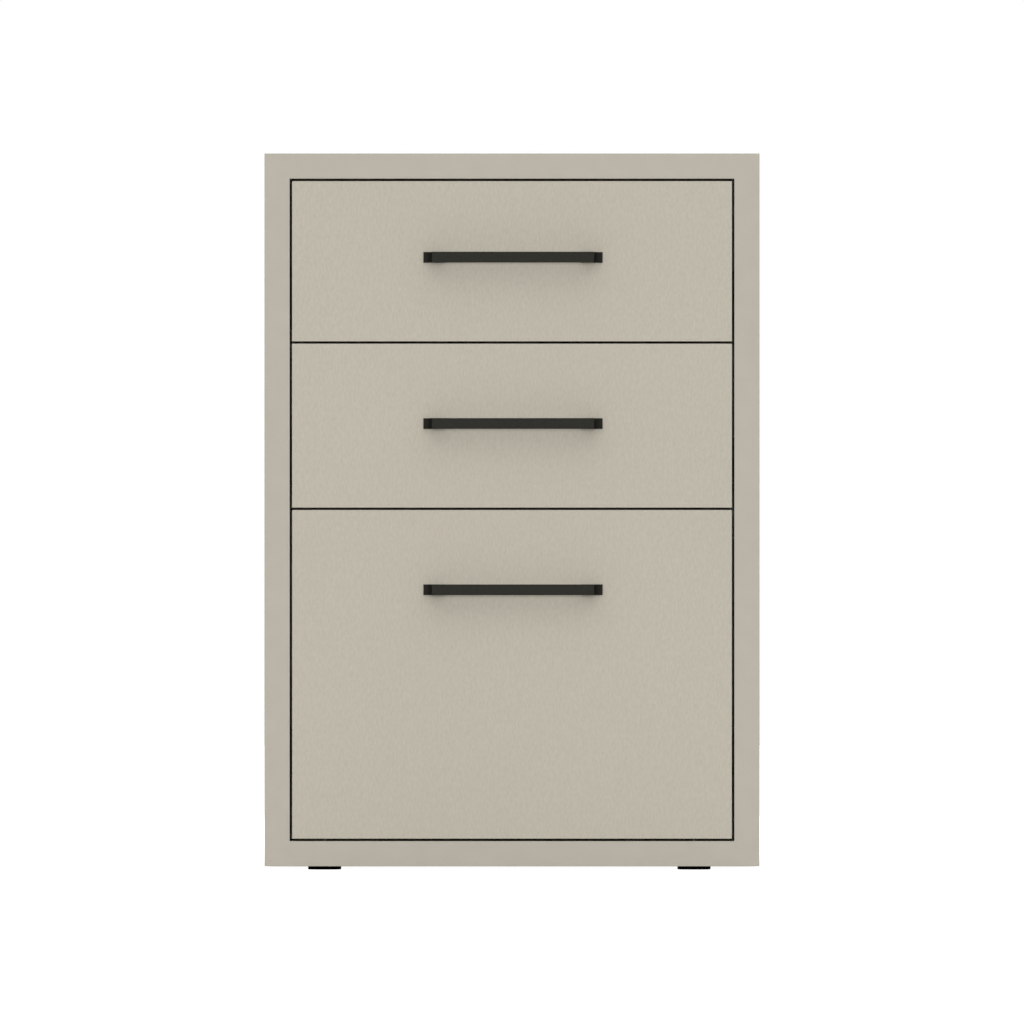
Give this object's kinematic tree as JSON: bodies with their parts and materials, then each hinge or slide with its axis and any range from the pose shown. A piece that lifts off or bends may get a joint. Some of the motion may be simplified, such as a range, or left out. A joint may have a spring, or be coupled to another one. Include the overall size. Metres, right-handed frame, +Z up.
{
  "type": "steel filing cabinet",
  "caption": "Steel filing cabinet with two box drawers over a hanging-file drawer, flush fronts in a plain surround, dark bar handles and low levelling feet.",
  "frame": {"origin": "on the floor, below the middle of the box around the case and its handles", "axes": "+Z up, the fronts and handles face -Y, +X to the right as seen from the front"},
  "size_m": [0.5, 0.59, 0.7236],
  "materials": {
    "case_paint": "satin stone-grey powder coat",
    "front_paint": "fine-textured stone-grey powder coat",
    "handle_paint": "matte black powder coat",
    "zinc_steel": "bright zinc plate",
    "foot_plastic": "moulded black"
  },
  "bodies": {
    "cabinet": {"case_shell": "case_paint", "base_pan": "case_paint", "back_panel": "case_paint", "front_left_upright": "zinc_steel", "front_right_upright": "zinc_steel", "rear_left_upright": "zinc_steel", "rear_right_upright": "zinc_steel", "front_left_foot_nut": "zinc_steel", "front_right_foot_nut": "zinc_steel", "rear_left_foot_nut": "zinc_steel", "rear_right_foot_nut": "zinc_steel", "top_slide_left_cabinet_member": "zinc_steel", "top_slide_right_cabinet_member": "zinc_steel", "middle_slide_left_cabinet_member": "zinc_steel", "middle_slide_right_cabinet_member": "zinc_steel", "file_slide_left_cabinet_member": "zinc_steel", "file_slide_right_cabinet_member": "zinc_steel"},
    "top_drawer": {"top_drawer_front_skin": "front_paint", "top_drawer_front_liner": "case_paint", "top_drawer_tub": "case_paint", "top_drawer_back": "case_paint", "top_drawer_handle": "handle_paint", "top_drawer_handle_screw_left": "zinc_steel", "top_drawer_handle_screw_right": "zinc_steel", "top_slide_left_drawer_member": "zinc_steel", "top_slide_right_drawer_member": "zinc_steel"},
    "top_slide_carriage": {"top_slide_left_middle_member": "zinc_steel", "top_slide_right_middle_member": "zinc_steel"},
    "middle_drawer": {"middle_drawer_front_skin": "front_paint", "middle_drawer_front_liner": "case_paint", "middle_drawer_tub": "case_paint", "middle_drawer_back": "case_paint", "middle_drawer_handle": "handle_paint", "middle_drawer_handle_screw_left": "zinc_steel", "middle_drawer_handle_screw_right": "zinc_steel", "middle_slide_left_drawer_member": "zinc_steel", "middle_slide_right_drawer_member": "zinc_steel"},
    "middle_slide_carriage": {"middle_slide_left_middle_member": "zinc_steel", "middle_slide_right_middle_member": "zinc_steel"},
    "file_drawer": {"file_drawer_front_skin": "front_paint", "file_drawer_front_liner": "case_paint", "file_drawer_tub": "case_paint", "file_drawer_back": "case_paint", "file_drawer_handle": "handle_paint", "file_drawer_handle_screw_left": "zinc_steel", "file_drawer_handle_screw_right": "zinc_steel", "file_slide_left_drawer_member": "zinc_steel", "file_slide_right_drawer_member": "zinc_steel", "hanging_file_rail_left": "zinc_steel", "hanging_file_rail_right": "zinc_steel"},
    "file_slide_carriage": {"file_slide_left_middle_member": "zinc_steel", "file_slide_right_middle_member": "zinc_steel"},
    "front_left_foot": {"front_left_foot_pad": "foot_plastic", "front_left_foot_stud": "zinc_steel"},
    "front_right_foot": {"front_right_foot_pad": "foot_plastic", "front_right_foot_stud": "zinc_steel"},
    "rear_left_foot": {"rear_left_foot_pad": "foot_plastic", "rear_left_foot_stud": "zinc_steel"},
    "rear_right_foot": {"rear_right_foot_pad": "foot_plastic", "rear_right_foot_stud": "zinc_steel"}
  },
  "joints": [
    {"name": "top_drawer_slide", "type": "slide", "parent": "cabinet", "child": "top_drawer", "axis": [0, -1, 0], "range_m": [0, 0.5]},
    {"name": "top_carriage_slide", "type": "slide", "parent": "cabinet", "child": "top_slide_carriage", "axis": [0, -1, 0], "range_m": [0, 0.25]},
    {"name": "middle_drawer_slide", "type": "slide", "parent": "cabinet", "child": "middle_drawer", "axis": [0, -1, 0], "range_m": [0, 0.5]},
    {"name": "middle_carriage_slide", "type": "slide", "parent": "cabinet", "child": "middle_slide_carriage", "axis": [0, -1, 0], "range_m": [0, 0.25]},
    {"name": "file_drawer_slide", "type": "slide", "parent": "cabinet", "child": "file_drawer", "axis": [0, -1, 0], "range_m": [0, 0.5]},
    {"name": "file_carriage_slide", "type": "slide", "parent": "cabinet", "child": "file_slide_carriage", "axis": [0, -1, 0], "range_m": [0, 0.25]},
    {"name": "front_left_foot_turn", "type": "hinge", "parent": "cabinet", "child": "front_left_foot", "pos_m": [-0.1895, -0.227, 0.012], "axis": [0, 0, 1], "continuous": true},
    {"name": "front_right_foot_turn", "type": "hinge", "parent": "cabinet", "child": "front_right_foot", "pos_m": [0.1841, -0.227, 0.012], "axis": [0, 0, 1], "continuous": true},
    {"name": "rear_left_foot_turn", "type": "hinge", "parent": "cabinet", "child": "rear_left_foot", "pos_m": [-0.1895, 0.257, 0.012], "axis": [0, 0, 1], "continuous": true},
    {"name": "rear_right_foot_turn", "type": "hinge", "parent": "cabinet", "child": "rear_right_foot", "pos_m": [0.1841, 0.257, 0.012], "axis": [0, 0, 1], "continuous": true}
  ],
  "couplings": [
    {"joint": "top_carriage_slide", "follows": "top_drawer_slide", "ratio": 0.5},
    {"joint": "middle_carriage_slide", "follows": "middle_drawer_slide", "ratio": 0.5},
    {"joint": "file_carriage_slide", "follows": "file_drawer_slide", "ratio": 0.5}
  ]
}
